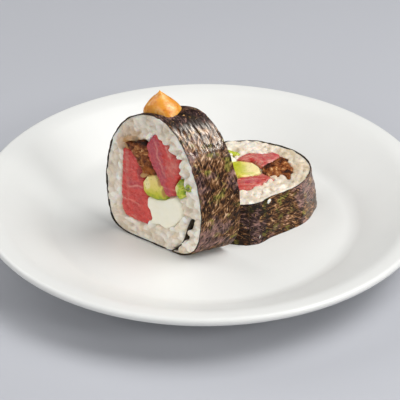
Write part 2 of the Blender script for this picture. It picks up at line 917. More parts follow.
@dataclass(frozen=True)
class MushroomFinish(Finish):
    """Braised mushroom, dark and glazed, caramel where it is thin."""

    tones: Stops = (
        (0.32, (0.020, 0.006, 0.003)),
        (0.44, (0.085, 0.024, 0.009)),
        (0.57, (0.20, 0.052, 0.014)),
        (0.69, (0.40, 0.15, 0.045)),
        (0.80, (0.74, 0.42, 0.19)),
    )
    caramel: Colour = (0.41, 0.12, 0.013)
    shares: tuple[tuple[str, float], ...] = (("fold", 0.10), ("light", 0.15), ("dark", -0.20))

    def fill(self, surface: Surface) -> None:
        """Fills the material in.

        Args:
            surface: the plain material.
        """
        graph = surface.graph
        place = graph.place()
        tone = graph.noise(place, 0.45, 4, 0.6, 0.8)
        for name, amount in self.shares:
            tone = graph.maths("MULTIPLY_ADD", graph.attribute(name), amount, tone)
        colour = graph.ramp(tone, self.tones)
        surface.set(Base_Color=graph.toned("tint", colour, self.caramel))
        surface.set(Specular_IOR_Level=0.12, Coat_Weight=0.04, Coat_Roughness=0.15)
        surface.relief(surface.damp(place, 0.7, 0.16, 0.42), 0.25, 0.8)


@dataclass(frozen=True)
class GreensFinish(Finish):
    """Crisp leaf and spring onion."""

    tones: Stops = (
        (0.36, (0.20, 0.33, 0.008)),
        (0.5, (0.50, 0.57, 0.020)),
        (0.66, (0.80, 0.78, 0.17)),
    )
    shade: Colour = (0.10, 0.20, 0.03)
    rib: Colour = (0.86, 0.84, 0.40)

    def fill(self, surface: Surface) -> None:
        """Fills the material in.

        Args:
            surface: the plain material.
        """
        graph = surface.graph
        place = graph.place()
        colour = graph.ramp(graph.noise(place, 0.45, 5, 0.6, 0.5), self.tones)
        colour = graph.toned("dark", colour, self.shade)
        surface.set(Base_Color=graph.toned("light", colour, self.rib))
        surface.glow(0.3, (0.5, 1.0, 0.2), 0.8)
        surface.relief(surface.damp(place, 0.6, 0.25, 0.45), 0.15, 0.6)


@dataclass(frozen=True)
class SauceFinish(Finish):
    """Chilli mayonnaise, glossy, with paler pools and flecks of spice."""

    light: Colour = (0.86, 0.39, 0.048)
    dark: Colour = (0.70, 0.235, 0.014)
    cream: Colour = (0.90, 0.58, 0.22)
    spice: Colour = (0.62, 0.13, 0.02)
    pool_band: Pair = (0.52, 0.66)
    spice_band: Pair = (0.62, 0.69)

    def fill(self, surface: Surface) -> None:
        """Fills the material in.

        Args:
            surface: the plain material.
        """
        graph = surface.graph
        place = graph.place()
        colour = surface.mottled(place, 0.30, 0.8, self.light, self.dark)
        pools = graph.span(graph.noise(place, 0.42, 3), *self.pool_band, 0, 0.6)
        colour = graph.blend(pools, colour, self.cream)
        flecks = graph.span(graph.noise(place, 0.8, 2), *self.spice_band, 0, 0.7)
        surface.set(Base_Color=graph.blend(flecks, colour, self.spice))
        surface.set(Roughness=0.38, Coat_Weight=0.15, Coat_Roughness=0.15)
        surface.glow(0.4, (1.0, 0.5, 0.15), 1.5)
        surface.relief(graph.noise(place, 0.9, 3), 0.12, 0.5)


@dataclass(frozen=True)
class TableFinish(Finish):
    """The plain matt grey table."""

    grey: Colour = (0.485, 0.492, 0.522)
    shade: Colour = (0.472, 0.480, 0.510)

    def fill(self, surface: Surface) -> None:
        """Fills the material in.

        Args:
            surface: the plain material.
        """
        place = surface.graph.add("TexCoord").outputs["Object"]
        surface.set(Base_Color=surface.mottled(place, 3.0, 0.4, self.grey, self.shade))
        surface.set(Roughness=0.75, Specular_IOR_Level=0.2)


class Slot(enum.Enum):
    """The record's material slots, with the finish that each one gets here."""

    PORCELAIN = ("porcelain", PorcelainFinish())
    NORI = ("nori", NoriFinish())
    RICE = ("rice", RiceFinish())
    TUNA = ("tuna", TunaFinish())
    AVOCADO = ("avocado", AvocadoFinish())
    CHEESE = ("cheese", CheeseFinish())
    MUSHROOM = ("mushroom", MushroomFinish())
    GREENS = ("greens", GreensFinish())
    SAUCE = ("sauce", SauceFinish())

    def material(self) -> Material:
        """The finish's material, made at its first use."""
        label, finish = self.value
        return bpy.data.materials.get("slot_" + label) or finish.make("slot_" + label)


def place_piece(piece: Object, slot: Slot, *nodes: str) -> None:
    """Dresses a piece, lets it stand for its nodes of the frame and reports it.

    Args:
        piece: the finished mesh object.
        slot: the material slot it takes its finish from.
        nodes: the frame's nodes that it stands for.
    """
    piece.data.materials.append(slot.material())
    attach(piece, "root")
    if nodes:
        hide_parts(*nodes)
    mesh = piece.data
    LOG.info("%s: %d corners, %d faces", piece.name, len(mesh.vertices), len(mesh.polygons))


# ---- the plate


@dataclass
class Plate:
    """A coupe plate: a flat well, an even slope up from it, and a rim that levels out to the lip."""

    radius: float = 99.98
    lip_height: float = 22.4
    well_radius: float = 63.0
    well_floor: float = 6.5
    wall: float = 3.4
    cove_radius: float = 14.0
    slope: float = math.radians(31)
    crest_radius: float = 16.0
    rim_slope: float = math.radians(9)
    foot_outer: float = 60.0
    foot_inner: float = 54.0
    foot_recess: float = 1.6
    foot_rounding: float = 0.9
    hub: float = 2.0  # the innermost rings' radius, and the recess's distance from the foot
    segments: int = 288
    cove_steps: int = 16
    crest_steps: int = 14
    slope_steps: int = 12
    lip_steps: int = 12
    well_steps: int = 16
    foot_steps: int = 4

    def arc(self, centre: Pair, radius: float, start: float, end: float, steps: int) -> Array:
        """Points along a part of a circle.

        Args:
            centre: the circle's middle.
            radius: its radius.
            start: the first point's angle.
            end: the last point's angle.
            steps: how many steps lie between them.

        Returns:
            Rows of (radius, height).
        """
        angle = np.linspace(start, end, steps + 1)
        across = centre[0] + radius * np.cos(angle)
        return np.stack([across, centre[1] + radius * np.sin(angle)], axis=1)

    def crest(self) -> Pair:
        """Finds the arc that leads from the slope over to the rim.

        Returns:
            The arc's middle.
        """
        reach = self.cove_radius + self.crest_radius
        across = self.well_radius + reach * math.sin(self.slope)
        height = self.well_floor + self.cove_radius - reach * math.cos(self.slope)
        lip = (self.radius - self.wall / 2 - across, self.lip_height - self.wall / 2 - height)
        gap = lip[1] * math.cos(self.rim_slope) - lip[0] * math.sin(self.rim_slope)
        run = (gap + self.wall / 2 - self.crest_radius) / math.sin(self.slope - self.rim_slope)
        return across + run * math.cos(self.slope), height + run * math.sin(self.slope)

    def face(self, offset: float) -> Array:
        """The upper face from the well to the rim.

        Args:
            offset: how far it is moved down, for the underside.

        Returns:
            Rows of (radius, height).
        """
        down, up = -math.pi / 2, math.pi / 2
        centre = (self.well_radius, self.well_floor + self.cove_radius)
        cove = self.arc(centre, self.cove_radius + offset, down, down + self.slope, self.cove_steps)
        start, end = up + self.slope, up + self.rim_slope
        crest = self.arc(self.crest(), self.crest_radius - offset, start, end, self.crest_steps)
        share = np.linspace(0, 1, self.slope_steps)[1:-1, None]
        return np.vstack([cove, cove[-1] * (1 - share) + crest[0] * share, crest])

    def foot(self) -> Array:
        """The foot ring from the recess under the well to the plate's underside.

        Returns:
            Rows of (radius, height).
        """
        rounding = self.foot_rounding
        sides = (self.foot_inner + rounding, 1.0), (self.foot_outer - rounding, 1.5)
        inner, outer = [
            self.arc((x, rounding), rounding, turn * math.pi, (turn + 0.5) * math.pi, self.foot_steps)
            for x, turn in sides
        ]
        recess = [[self.hub, self.foot_recess], [self.foot_inner - self.hub, self.foot_recess]]
        return np.vstack([recess, inner, outer])

    def profile(self) -> Array:
        """The whole outline, from the axis below to the axis above.

        Returns:
            Rows of (radius, height).
        """
        half = self.wall / 2
        lip_centre = (self.radius - half, self.lip_height - half)
        low, high = self.rim_slope - math.pi / 2, self.rim_slope + math.pi / 2
        lip = self.arc(lip_centre, half, low, high, self.lip_steps)
        well = np.linspace(self.well_radius, self.hub, self.well_steps)[1:, None]
        top = np.hstack([well, np.full_like(well, self.well_floor)])
        return np.vstack([self.foot(), self.face(self.wall), lip, self.face(0.0)[::-1], top])

    def build(self) -> None:
        """Turns the plate and closes it at the axis, above and below."""
        profile = self.profile()
        points, faces = lathe(profile, self.segments)
        ends = np.array([[0, 0, profile[0, 1]], [0, 0, profile[-1, 1]]])
        low, high = len(points), len(points) + 1
        last = len(points) - self.segments
        ring = [(k, (k + 1) % self.segments) for k in range(self.segments)]
        caps = [[low, b, a] for a, b in ring] + [[high, last + a, last + b] for a, b in ring]
        made = make_object("porcelain_plate", np.vstack([points, ends]) * MM, faces.tolist() + caps)
        place_piece(made, Slot.PORCELAIN, "plate")


# ---- a slice's own frame


@dataclass(frozen=True)
class SliceFrame:
    """Where a slice is. Its section has x and y in the cut face and z from the front cut back."""

    name: str
    thickness: float
    centre: Pair

    def to_row(self, points: Array) -> Array:
        """Section millimetres to the frame's metres."""
        raise NotImplementedError

    def to_section(self, points: Array) -> Array:
        """The frame's metres to section millimetres."""
        raise NotImplementedError

    def node_body(self, node: str) -> Body:
        """A node of the frame as section corners and triangles."""
        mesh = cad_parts[f"{self.name}_{node}"].data
        return self.to_section(corners_of(mesh)), triangles_of(mesh)


@dataclass(frozen=True)
class StandingFrame(SliceFrame):
    """The slice that stands on its side. The knife went through it at a slant."""

    corner: Triple = (-34.6, -13.1, 6.8 - SETTLE)
    turn: float = math.radians(37)
    skew: float = 8.9

    def axes(self) -> Array:
        """The section's three axes in the frame, one for each row."""
        cos, sin = math.cos(self.turn), math.sin(self.turn)
        return np.array([[cos, -sin, 0], [0, 0, 1], [-sin, -cos, 0]])

    def to_row(self, points: Array) -> Array:
        """Section millimetres to the frame's metres.

        Args:
            points: rows of (x, y, depth).

        Returns:
            The same places, settled on the plate.
        """
        slanted = points.copy()
        slanted[:, 0] -= self.skew * points[:, 2] / self.thickness
        return (slanted @ self.axes() + self.corner) * MM

    def to_section(self, points: Array) -> Array:
        """The frame's metres to section millimetres.

        Args:
            points: the frame's corners, at its own height.

        Returns:
            Rows of (x, y, depth).
        """
        lifted = points / MM - np.array(self.corner) - np.array([0, 0, SETTLE])
        found = lifted @ self.axes().T
        found[:, 0] += self.skew * found[:, 2] / self.thickness
        return found


@dataclass(frozen=True)
class LyingFrame(SliceFrame):
    """The slice that lies on a cut face. Its foot sags outwards."""

    top: float = 26.0
    flare: float = 0.08
    shift: float = 1.0

    def to_row(self, points: Array) -> Array:
        """Section millimetres to the frame's metres.

        Args:
            points: rows of (x, y, depth).

        Returns:
            The same places, settled on the plate.
        """
        low = -points[:, 2] / self.thickness
        x = points[:, 0] + (self.flare * (points[:, 0] - self.centre[0]) + self.shift) * low
        y = points[:, 1] + self.flare * (points[:, 1] - self.centre[1]) * low
        return np.stack([x, y, points[:, 2] + self.top - SETTLE], axis=1) * MM

    def to_section(self, points: Array) -> Array:
        """The frame's metres to section millimetres.

        Args:
            points: the frame's corners, at its own height.

        Returns:
            Rows of (x, y, depth).
        """
        x, y, height = (points / MM).T
        depth = height - self.top
        low = -depth / self.thickness
        grown = 1 + self.flare * low
        x = (x + (self.flare * self.centre[0] - self.shift) * low) / grown
        y = (y + self.flare * self.centre[1] * low) / grown
        return np.stack([x, y, depth], axis=1)


class Probe:
    """Answers how far section points are from one node of the frame."""

    def __init__(self, home: SliceFrame, node: str) -> None:
        """Reads the node's mesh."""
        points, faces = home.node_body(node)
        self.tree = BVHTree.FromPolygons(points.tolist(), faces.tolist())

    def clearance(self, point: Triple) -> float:
        """How far a point is outside the node.

        Args:
            point: a place in the section.

        Returns:
            The distance, negative inside the node.
        """
        distance = self.tree.find_nearest(Vector(point))[3]
        hit, normal, *_ = self.tree.ray_cast(Vector(point), ASIDE)
        return -distance if hit is not None and normal.dot(ASIDE) > 0 else distance

    def reach(self, centre: Pair, angle: float, depth: float, far: float = 90.0) -> float:
        """How far from a centre the node's outer side is, in one direction.

        Args:
            centre: the centre in the section.
            angle: the direction.
            depth: how deep in the slice it is measured.
            far: a distance that is outside the node.

        Returns:
            The distance.
        """
        way = Vector((math.cos(angle), math.sin(angle), 0))
        start = Vector((*centre, depth)) + way * far
        hit = self.tree.ray_cast(start, -way, far)[0]
        return (hit - Vector((*centre, depth))).length


# ---- the nori


class SheetLook(enum.Enum):
    """The fields that change the sheet's finish along it."""

    SHINE = "shine"
    TOAST = "toast"
    PLUM = "plum"


class Edge(enum.IntEnum):
    """The sheet's torn edges, each with its own share of the seed."""

    FRONT = 40
    BACK = 50
    TAIL = 60


@dataclass(frozen=True)
class Band:
    """A stretch along the sheet that is shinier, more toasted or more purple than the rest."""

    look: SheetLook
    middle: float
    half: float
    amount: float = 1.0
    edge: float = 3.0  # half the width of its soft edge
    wander: Relief = Relief((5.0, 2.2, 1.0), 3.0, 3)

    def strength(self, places: Array, seed: int) -> Array:
        """How strong it is at each place on the sheet, with a wandering edge."""
        away = np.abs(places[:, 0] - self.middle) + self.wander.at(places, seed)
        return soft_step(away, self.half + self.edge, self.half - self.edge) * self.amount


@dataclass
class NoriSheet:
    """The sheet round a slice and its tucked end, with fibres, creases and torn cut edges."""

    home: SliceFrame
    tail: tuple[Pair, ...]
    tail_widths: tuple[float, ...]
    bands: tuple[Band, ...]
    seed: int
    thickness: float = 0.5
    cell: float = 0.34
    probed: int = 1440  # directions in which the outline is read
    smoothness: int = 26  # how many waves the outline may have
    swell: Relief = Relief((11, 9, 1), 0.28)
    grains: Relief = Relief((3.4, 2.6, 1), 0.16, shift=10)
    folds: Relief = Relief((9.0, 1.5, 1), 2.0, shift=20)
    fibres: Relief = Relief((2.6, 0.8, 1), 0.09, shift=30)
    fold_height: float = 0.2
    fold_start: float = 0.35
    sunk: float = 0.12  # the relief's mean, taken off again
    deepest: float = -0.25  # no crease goes deeper, or rice would show through
    seed_step: float = 7.3  # how far apart two sheets' patterns are
    tear: Relief = Relief(3.2, 0.22, 4)  # how far the cut edges wander
    tail_tear: float = 0.6  # how much of that the tucked end has
    inner_steps: int = 6
    inner_relief: float = 0.6  # how much of the relief shows on the inner side
    tail_samples: int = 12
    tail_spacing: float = 0.4
    tail_rows: int = 22
    outline: Array = field(init=False)
    outward: Array = field(init=False)
    travelled: Array = field(init=False)

    def __post_init__(self) -> None:
        """Reads the outline from the frame and smooths its facets away."""
        probe = Probe(self.home, "nori")
        angles = np.linspace(0, 2 * math.pi, self.probed, endpoint=False) - math.pi / 2
        depth = -self.home.thickness / 2
        reach = np.array([probe.reach(self.home.centre, a, depth) for a in angles])
        found = np.stack([np.cos(angles), np.sin(angles)], axis=1) * reach[:, None]
        ends = np.vstack([found, found[:1]])
        length = np.concatenate([[0], np.cumsum(np.linalg.norm(np.diff(ends, axis=0), axis=1))])
        count = int(length[-1] / self.cell)
        even = np.linspace(0, length[-1], count, endpoint=False)
        wave = np.interp(even, length, ends[:, 0]) + 1j * np.interp(even, length, ends[:, 1])
        spectrum = np.fft.fft(wave)
        turns = np.abs(np.fft.fftfreq(count, 1 / count))
        spectrum *= soft_step(turns, 2 * self.smoothness, self.smoothness)
        wave = np.fft.ifft(spectrum)
        self.outline = np.stack([wave.real, wave.imag], axis=1) + self.home.centre
        along = np.roll(self.outline, -1, axis=0) - np.roll(self.outline, 1, axis=0)
        self.outward = square_to(along)
        self.travelled = even

    def reach(self, points: Array) -> Array:
        """How far inside the sheet's outer side section points are, measured from the centre.

        Args:
            points: rows whose first two numbers are the place in the section.

        Returns:
            One distance for each, negative outside.
        """
        corner = self.outline - self.home.centre
        offset = points[:, :2] - self.home.centre
        limit = np.interp(
            np.arctan2(offset[:, 1], offset[:, 0]),
            np.arctan2(corner[:, 1], corner[:, 0]),
            np.hypot(corner[:, 0], corner[:, 1]),
            period=2 * math.pi,
        )
        return limit - np.hypot(offset[:, 0], offset[:, 1])

    def creases(self, travelled: Array, depth: Array) -> Array:
        """How far the sheet stands out or in, in millimetres.

        Args:
            travelled: how far along the sheet each point is.
            depth: how far behind the front cut.

        Returns:
            One height for each point.
        """
        flat = np.stack([travelled, depth, np.full_like(depth, self.seed * self.seed_step)], axis=1)
        folds = 1 - np.abs(self.folds.at(flat, self.seed))
        height = self.swell.at(flat, self.seed) + self.grains.at(flat, self.seed)
        height += soft_step(folds, self.fold_start, 1.0) * self.fold_height
        return np.maximum(height + self.fibres.at(flat, self.seed) - self.sunk, self.deepest)

    def ragged(self, travelled: Array, edge: Edge) -> Array:
        """How far the knife's edge wanders along the sheet."""
        line = np.stack([travelled, np.zeros_like(travelled), np.zeros_like(travelled)], axis=1)
        return self.tear.at(line, self.seed + edge)

    def wrapper(self) -> tuple[Array, list, Array]:
        """The sheet round the rice.

        Returns:
            Corners in section millimetres, faces, and each corner's place on the sheet.
        """
        rows = int(self.home.thickness / self.cell)
        front, back = [self.ragged(self.travelled, edge) for edge in (Edge.FRONT, Edge.BACK)]
        outer = [(row / rows, 0.0, 1.0) for row in range(rows + 1)]
        steps = self.inner_steps
        inner = [(1 - row / steps, self.thickness, self.inner_relief) for row in range(steps + 1)]
        rings, places = [], []
        for share, inset, height in outer + inner:
            depth = -share * self.home.thickness + front * (1 - share) + back * share
            relief = self.creases(self.travelled, depth) * height - inset
            flat = self.outline + self.outward * relief[:, None]
            rings.append(np.hstack([flat, depth[:, None]]))
            places.append(np.stack([self.travelled, depth, np.full_like(depth, -inset)], axis=1))
        faces = ring_faces(len(self.outline), len(rings), closed_rows=True)
        return np.vstack(rings), faces.tolist(), np.vstack(places)

    def tucked(self) -> tuple[Array, list, Array]:
        """The sheet's end, rolled in under the rice.

        Returns:
            Corners in section millimetres, faces, and each corner's place on the sheet.
        """
        line = catmull_rom(np.array(self.tail), self.tail_samples)
        corners = np.linspace(0, 1, len(self.tail))
        width = np.interp(np.linspace(0, 1, len(line)), corners, self.tail_widths)
        across = square_to(np.gradient(line, axis=0)) * (width / 2)[:, None]
        loop = np.vstack([line + across, (line - across)[::-1]])
        count = len(loop)
        length = np.arange(count) * self.tail_spacing
        torn = self.ragged(length, Edge.TAIL) * self.tail_tear
        rings, places = [], []
        for row in range(self.tail_rows + 1):
            depth = -row / self.tail_rows * self.home.thickness + torn
            rings.append(np.hstack([loop, depth[:, None]]))
            places.append(np.stack([length, depth, np.full_like(length, -1.0)], axis=1))
        faces = ring_faces(count, len(rings)).tolist()
        last = self.tail_rows * count
        faces += [list(range(count))[::-1], list(range(last, last + count))]
        return np.vstack(rings), faces, np.vstack(places)

    def build(self) -> None:
        """Joins the sheet and its tucked end into one piece."""
        points, faces, places = self.wrapper()
        tail_points, tail_faces, tail_places = self.tucked()
        faces += [[k + len(points) for k in face] for face in tail_faces]
        together = self.home.to_row(np.vstack([points, tail_points]))
        made = make_object(f"{self.home.name}_nori_sheet", together, faces)
        places = np.vstack([places, tail_places])
        fields = {"sheet": places}
        for look in SheetLook:
            amounts = [band.strength(places, self.seed) for band in self.bands if band.look is look]
            fields[look.value] = sum(amounts, np.zeros(len(places)))
        set_fields(made.data, fields)
        place_piece(made, Slot.NORI, f"{self.home.name}_nori")


# ---- soft spots


class Look(enum.Enum):
    """The fields that darken, lighten or tint a finish in places."""

    DARK = "dark"
    LIGHT = "light"
    TINT = "tint"


@dataclass(frozen=True)
class Spot:
    """A patch of a slice's section that is darker, lighter or tinted, from cut to cut."""

    look: Look
    middle: Pair
    reach: Pair
    amount: float = 1.0
    edge: Pair = (1.3, 0.7)  # where it ends and where it is whole, as shares of its reach
    wander: Relief = Relief((2.6, 2.6, 7.0), 0.4, 3)

    def strength(self, points: Array, seed: int) -> Array:
        """How strong it is at each section point, with a wandering edge."""
        away = np.hypot(*((points[:, :2] - self.middle) / self.reach).T)
        return soft_step(away + self.wander.at(points, seed), *self.edge) * self.amount


def looks_at(points: Array, spots: tuple[Spot, ...], seed: int) -> dict[str, Array]:
    """The three looks at a skin's corners.

    Args:
        points: the corners in section millimetres.
        spots: the patches.
        seed: picks how their edges wander.

    Returns:
        Each look's strengths by its field's name.
    """
    fields = {look.value: np.zeros(len(points)) for look in Look}
    for number, spot in enumerate(spots):
        strength = spot.strength(points, seed + number)
        fields[spot.look.value] = np.maximum(fields[spot.look.value], strength)
    return fields


# ---- the rice


@dataclass
class RiceMass:
    """Cooked grains pressed together and cut, over the frame's own core."""

    home: SliceFrame
    sheet: NoriSheet
    fillings: tuple[str, ...]
    grainy_back: bool
    seed: int
    spots: tuple[Spot, ...]
    sink: Pair  # how far a grain's middle lies behind the cut
    skim: float  # the knife took off what stands further out than this
    rounds: int  # how often the skin is evened out
    length: Pair = (3.8, 5.4)
    width: Pair = (2.2, 2.9)
    squash: Pair = (0.84, 1.0)  # a grain's thickness, as a share of its width
    bow: float = 0.04  # how far its ends rise, as a share of its length
    tilt: float = 0.45
    turns: int = 7  # how many ways round a grain is tried
    tips: float = 0.42  # how far from its middle it is tested, as a share of its length
    stub: float = 0.62  # what is left of a grain that fits no way round
    spacing: float = 2.15  # no two grains' middles on one cut are closer
    overlap: float = 0.5  # how far a grain may reach over a filling
    shoulder: float = 0.3  # how much more room a wide grain asks for, as a share of its width
    clear: float = 0.75  # the room that a grain's middle needs
    edge_room: float = 0.6  # no grain's middle or tip is closer to the outer side
    tuck_room: float = 0.1  # how much nearer it may come to the sheet than to a filling
    spread_half: float = 34.0  # half the side of the square that is scattered over
    core: float = 1.0  # how far the core lies behind the cut
    rise: float = 0.8  # how much less that is along the sheet
    rise_band: Pair = (1.8, 0.9)  # where that starts and is whole, from the outer side
    lining: float = 0.34  # the grains stop this far inside the sheet's outer side
    seam: float = 1.9  # the core's corners that lie closer to the outer side touch the sheet
    press: float = 0.2  # how far those reach into it, until they are held back
    rim: float = 0.9  # how wide a band along the sheet is flush with it
    flush: float = 0.1  # how far that band lies behind the cut
    rim_depth: float = 1.8
    level_band: Pair = (0.3, 1.7)  # where the cut rises from the sheet's edge to the skim
    edge_drop: float = 0.12  # how far it lies behind the cut by the sheet
    blade: float = 0.2  # how softly the knife flattens
    columns: int = 12  # corners round a grain
    rings: int = 8
    cell: float = 0.41
    skin: Relief = Relief(1.6, 0.05)
    hollow_start: float = 0.05
    hollow_past: float = 0.1
    hollow_depth: float = 0.4
    grains: list[tuple[float, ...]] = field(default_factory=list)
    random: np.random.Generator = field(init=False)
    probes: list[Probe] = field(init=False)
    wrapper: Probe = field(init=False)

    def __post_init__(self) -> None:
        """Reads the fillings and the sheet from the frame."""
        self.random = np.random.default_rng(self.seed)
        self.probes = [Probe(self.home, name) for name in self.fillings]
        self.wrapper = Probe(self.home, "nori")

    def room(self, x: float, y: float) -> float:
        """How much room a place has to the nearest filling or to the sheet.

        Args:
            x: how far right it is.
            y: how far up it is.

        Returns:
            The distance, negative inside one of them.
        """
        point = (x, y, -self.home.thickness / 2)
        inside = float(self.sheet.reach(np.array([point]))[0]) - self.edge_room
        if inside < 0:
            return inside
        sheet = self.wrapper.clearance(point) + self.tuck_room
        return min(sheet, *[probe.clearance(point) for probe in self.probes])

    def scatter(self, face: float, inward: float) -> None:
        """Lays grains over one cut face.

        Args:
            face: the cut's depth.
            inward: 1 or -1, the way into the rice.
        """
        step = self.spacing / 2
        grid = np.arange(-self.spread_half, self.spread_half, step)
        places = np.array(list(itertools.product(grid, grid))) + self.home.centre
        places += self.random.uniform(-step / 2, step / 2, places.shape)
        taken = np.full((1, 2), FAR)
        for x, y in self.random.permutation(places):
            apart = np.hypot(*(taken - (x, y)).T).min() > self.spacing
            if apart and self.room(x, y) > self.clear:
                taken = np.vstack([taken, (x, y)])
                self.lay(x, y, face, inward)

    def lay(self, x: float, y: float, face: float, inward: float) -> None:
        """Lays one grain, turned so that it fits between the fillings.

        Args:
            x: its middle in the section.
            y: its middle in the section.
            face: the cut's depth.
            inward: 1 or -1, the way into the rice.
        """
        length = self.random.uniform(*self.length)
        width = self.random.uniform(*self.width)
        best, best_room = 0.0, -FAR
        for angle in self.random.uniform(0, math.pi, self.turns):
            tip = np.array([math.cos(angle), math.sin(angle)]) * length * self.tips
            room = min(self.room(x + tip[0], y + tip[1]), self.room(x - tip[0], y - tip[1]))
            if room > best_room:
                best, best_room = angle, room
            if room > -self.overlap + width * self.shoulder:
                break
        if best_room < -self.overlap:
            length *= self.stub
        tilt = self.random.normal(0, self.tilt)
        depth = face + inward * self.random.uniform(*self.sink)
        thickness = width * self.random.uniform(*self.squash)
        self.grains.append((x, y, depth, best, tilt, length, width, thickness))

    def bodies(self) -> Body:
        """All grains as closed rounded bodies.

        Returns:
            Their corners and triangles together.
        """
        shape, triangles = pebble(self.columns, self.rings)
        made = []
        for x, y, depth, angle, tilt, length, width, thickness in self.grains:
            body = shape * (length, width, thickness)
            body[:, 2] += self.bow * length * (4 * shape[:, 0] ** 2 - 0.5)
            cos, sin = math.cos(tilt), math.sin(tilt)
            body = body @ np.array([[cos, 0, sin], [0, 1, 0], [-sin, 0, cos]])
            cos, sin = math.cos(angle), math.sin(angle)
            body = body @ np.array([[cos, sin, 0], [-sin, cos, 0], [0, 0, 1]])
            made.append((body + (x, y, depth), triangles))
        return joined(made)

    def rims(self) -> list[Body]:
        """The rice that the knife left flush with the sheet, one strip at each cut.

        Returns:
            The strips.
        """
        line = self.sheet.outline - self.sheet.outward * (self.lining + self.rim / 2)
        line = np.vstack([line, line[:1]])
        strips = [bent_strip(line, self.rim / 2, -self.rim_depth, -self.flush)]
        if self.grainy_back:
            back = -self.home.thickness
            strips.append(bent_strip(line, self.rim / 2, back + self.flush, back + self.rim_depth))
        return strips

    def outwards(self, points: Array) -> Array:
        """For each point, the way in the section from the centre to it, one millimetre long."""
        offset = points[:, :2] - self.home.centre
        return offset / np.maximum(np.hypot(offset[:, 0], offset[:, 1]), 1)[:, None]

    def sunk_core(self) -> Body:
        """The frame's core, sunk behind the cuts and moved out against the sheet.

        Returns:
            Its corners and triangles.
        """
        core, faces = self.home.node_body("rice")
        reach = self.sheet.reach(core)
        sunk = self.core - self.rise * soft_step(reach, *self.rise_band)
        back = sunk - self.home.thickness if self.grainy_back else -FAR
        core[:, 2] = np.clip(core[:, 2], back, -sunk)
        grown = self.outwards(core) * (reach - self.lining - self.press)[:, None]
        core[:, :2] += np.where((reach < self.seam)[:, None], grown, 0)
        return core, faces

    def skimmed(self, points: Array) -> Array:
        """Depths after the knife, which flattened what stood out of either cut.

        Args:
            points: the corners in section millimetres.

        Returns:
            One depth for each corner, just inside the sheet's edge where the rice meets it.
        """
        inner = soft_step(self.sheet.reach(points), *self.level_band)
        skim = self.skim * inner - self.edge_drop * (1 - inner)
        depth = points[:, 2]
        over = depth - skim
        flat = np.where(over > 0, skim + self.blade * np.tanh(over / self.blade), depth)
        limit = -self.home.thickness - skim
        over = limit - flat
        return np.where(over > 0, limit - self.blade * np.tanh(over / self.blade), flat)

    def held(self, points: Array) -> Array:
        """Presses what reaches into the sheet back inside it.

        Args:
            points: the corners in section millimetres.

        Returns:
            The moved corners.
        """
        over = np.maximum(0, self.lining - self.sheet.reach(points))
        held = points.copy()
        held[:, :2] -= self.outwards(points) * over[:, None]
        return held

    def shades(self, points: Array) -> Array:
        """Each corner's shade, by the grain it belongs to.

        Args:
            points: the corners in section millimetres.

        Returns:
            One number from 0 to 1 for each.
        """
        tree = KDTree(len(self.grains))
        for number, grain in enumerate(self.grains):
            tree.insert(grain[:3], number)
        tree.balance()
        own = self.random.uniform(0, 1, len(self.grains))
        return np.array([own[tree.find(point)[1]] for point in points])

    def hollows(self, points: Array) -> Array:
        """How deep each corner lies between the grains, from 0 on a cut upwards."""
        below = np.minimum(-points[:, 2], points[:, 2] + self.home.thickness)
        return soft_step(below, self.hollow_start, self.core + self.hollow_past) * self.hollow_depth

    def build(self) -> None:
        """Lays the grains, fuses them to the core and stores what the finish needs."""
        self.scatter(0.0, -1.0)
        if self.grainy_back:
            self.scatter(-self.home.thickness, 1.0)
        bodies = [self.sunk_core(), self.bodies(), *self.rims()]
        skin, points = voxel_skin(bodies, self.cell, self.rounds)
        points[:, 2] = self.skimmed(points)
        points = self.held(points)
        set_corners(skin, points)
        points += normals_of(skin) * self.skin.at(points, self.seed)[:, None]
        set_corners(skin, self.home.to_row(points))
        made = add_object(f"{self.home.name}_rice_grains", skin)
        set_fields(skin, {"section": points, "shade": self.shades(points)})
        set_fields(skin, {"hollow": self.hollows(points), **looks_at(points, self.spots, self.seed)})
        place_piece(made, Slot.RICE, f"{self.home.name}_rice")


# ---- the fillings


class Kind(enum.Enum):
    """What a filling is, with its finish and the cell size of its skin."""

    TUNA = (Slot.TUNA, 0.36)
    AVOCADO = (Slot.AVOCADO, 0.36)
    CHEESE = (Slot.CHEESE, 0.4)
    MUSHROOM = (Slot.MUSHROOM, 0.3)
    GREENS = (Slot.GREENS, 0.26)


